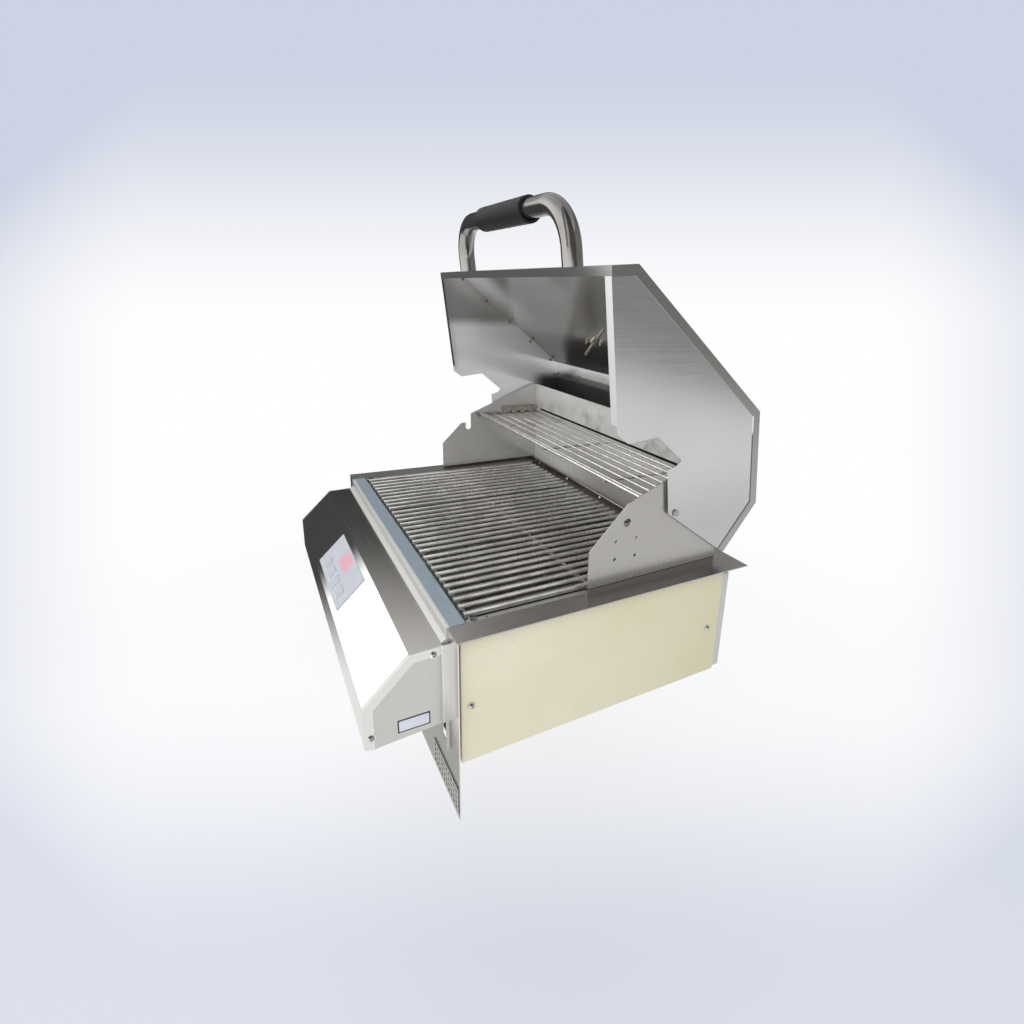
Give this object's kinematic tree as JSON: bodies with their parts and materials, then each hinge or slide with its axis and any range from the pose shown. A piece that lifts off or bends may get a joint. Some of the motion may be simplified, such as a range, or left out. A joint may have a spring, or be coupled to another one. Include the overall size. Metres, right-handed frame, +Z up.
{
  "type": "built-in electric grill",
  "caption": "Counter-built electric grill with hinged lid, tube handle, rod grates over heating elements, warming rack and slanted control housing.",
  "frame": {"origin": "middle of the flange front edge, in the plane of the counter top that the flange lies on", "axes": "+X to the right as one stands at the controls, +Y to the rear, +Z up"},
  "size_m": [0.72, 0.6115, 0.806],
  "materials": {
    "firebox_steel": "dull folded sheet",
    "ledge_steel": "dull sheet",
    "fibre_board": "matt cream fibre board",
    "screw_steel": "bright machine-turned heads",
    "cover_steel": "light grey sheet",
    "gland_plastic": "black moulded",
    "flange_steel": "brushed along its length",
    "plate_steel": "brushed upright",
    "vent_steel": "pressed grille",
    "rail_steel": "bright rolled edge",
    "strip_steel": "brushed",
    "blue_film": "thin blue protective film",
    "housing_steel": "polished slanted face, brushed top",
    "cap_steel": "pressed relief",
    "plate_foil": "thin bare plate",
    "overlay_film": "matt grey control film",
    "window_plastic": "pink tinted window",
    "key_plastic": "grey keys",
    "board_laminate": "green laminate",
    "pillar_plastic": "natural nylon",
    "wing_steel": "brushed upright, warm tint",
    "wall_steel": "brushed upright",
    "deflector_steel": "rolled top edge",
    "rail_strip_steel": "punched slots",
    "rivet_brass": "dull rivet heads",
    "rack_wire": "bright wire",
    "grate_rod": "drawn rod",
    "element_sheath": "dark oxidised sheath",
    "bush_ceramic": "unglazed",
    "pan_steel": "pressed sheet",
    "stop_rubber": "black block",
    "bush_brass": "turned spacer",
    "lid_steel": "brushed outside, bright inside",
    "lid_side_steel": "brushed",
    "handle_polished": "polished tube",
    "grip_foam": "matt black sleeve",
    "case_steel": "polished bezel",
    "dial_glass": "clear",
    "pointer_paint": "red",
    "stem_brass": "turned"
  },
  "bodies": {
    "grill": {"firebox": "firebox_steel", "grate_ledges": "ledge_steel", "insulation_left": "fibre_board", "insulation_right": "fibre_board", "insulation_base": "fibre_board", "insulation_rear": "fibre_board", "board_screws": "screw_steel", "rear_cover": "cover_steel", "supply_gland": "gland_plastic", "counter_flange": "flange_steel", "front_plate": "plate_steel", "vent_grilles": "vent_steel", "front_rail": "rail_steel", "front_strip": "strip_steel", "strip_film": "blue_film", "control_housing": "housing_steel", "end_cap_left": "cap_steel", "end_cap_right": "cap_steel", "cap_screws": "screw_steel", "blank_plate": "plate_foil", "control_overlay": "overlay_film", "display_window": "window_plastic", "circuit_board": "board_laminate", "board_pillars": "pillar_plastic", "wing_left": "wing_steel", "wing_right": "wing_steel", "back_wall": "wall_steel", "rear_deflector": "deflector_steel", "deflector_screws": "screw_steel", "rack_rails": "rail_strip_steel", "rail_rivets": "rivet_brass", "element_left": "element_sheath", "element_centre": "element_sheath", "element_right": "element_sheath", "element_bushes": "bush_ceramic", "element_rests": "ledge_steel", "lid_stops": "stop_rubber", "hinge_pins": "screw_steel", "hinge_bushes": "bush_brass"},
    "lid": {"lid_shell": "lid_steel", "lid_side_left": "lid_side_steel", "lid_side_right": "lid_side_steel", "lid_rivets": "screw_steel", "handle_tube": "handle_polished", "handle_grip": "grip_foam", "handle_bolts": "screw_steel", "thermometer_case": "case_steel", "thermometer_glass": "dial_glass", "thermometer_stem": "stem_brass"},
    "pointer": {"thermometer_pointer": "pointer_paint"},
    "upper_rack": {"warming_rack": "rack_wire"},
    "left_grate": {"grate_left": "grate_rod"},
    "centre_grate": {"grate_centre": "grate_rod"},
    "right_grate": {"grate_right": "grate_rod"},
    "pan": {"drip_pan": "pan_steel"},
    "key_a": {"key_1": "key_plastic"},
    "key_b": {"key_2": "key_plastic"},
    "key_c": {"key_3": "key_plastic"},
    "key_d": {"key_4": "key_plastic"}
  },
  "joints": [
    {"name": "lid_hinge", "type": "hinge", "parent": "grill", "child": "lid", "pos_m": [0, 0.3403, 0.1029], "axis": [1, 0, 0], "range_deg": [0, 83]},
    {"name": "pointer_turn", "type": "hinge", "parent": "lid", "child": "pointer", "pos_m": [0, 0.39302, 0.32231], "axis": [0, -0.6225, -0.7826], "range_deg": [0, 270], "stiffness_Nm_per_rad": 0.004, "springref_deg": -20.05},
    {"name": "upper_rack_lift", "type": "slide", "parent": "grill", "child": "upper_rack", "axis": [0, 0, 1], "range_m": [0, 0.06]},
    {"name": "left_grate_lift", "type": "slide", "parent": "grill", "child": "left_grate", "axis": [0, 0, 1], "range_m": [0, 0.06]},
    {"name": "centre_grate_lift", "type": "slide", "parent": "grill", "child": "centre_grate", "axis": [0, 0, 1], "range_m": [0, 0.06]},
    {"name": "right_grate_lift", "type": "slide", "parent": "grill", "child": "right_grate", "axis": [0, 0, 1], "range_m": [0, 0.06]},
    {"name": "pan_lift", "type": "slide", "parent": "grill", "child": "pan", "axis": [0, 0, 1], "range_m": [0, 0.05]},
    {"name": "key_a_press", "type": "slide", "parent": "grill", "child": "key_a", "axis": [0, 0.7071, -0.7071], "range_m": [0, 0.001], "stiffness_N_per_m": 700, "springref_m": -0.0008},
    {"name": "key_b_press", "type": "slide", "parent": "grill", "child": "key_b", "axis": [0, 0.7071, -0.7071], "range_m": [0, 0.001], "stiffness_N_per_m": 700, "springref_m": -0.0008},
    {"name": "key_c_press", "type": "slide", "parent": "grill", "child": "key_c", "axis": [0, 0.7071, -0.7071], "range_m": [0, 0.001], "stiffness_N_per_m": 700, "springref_m": -0.0008},
    {"name": "key_d_press", "type": "slide", "parent": "grill", "child": "key_d", "axis": [0, 0.7071, -0.7071], "range_m": [0, 0.001], "stiffness_N_per_m": 700, "springref_m": -0.0008}
  ]
}
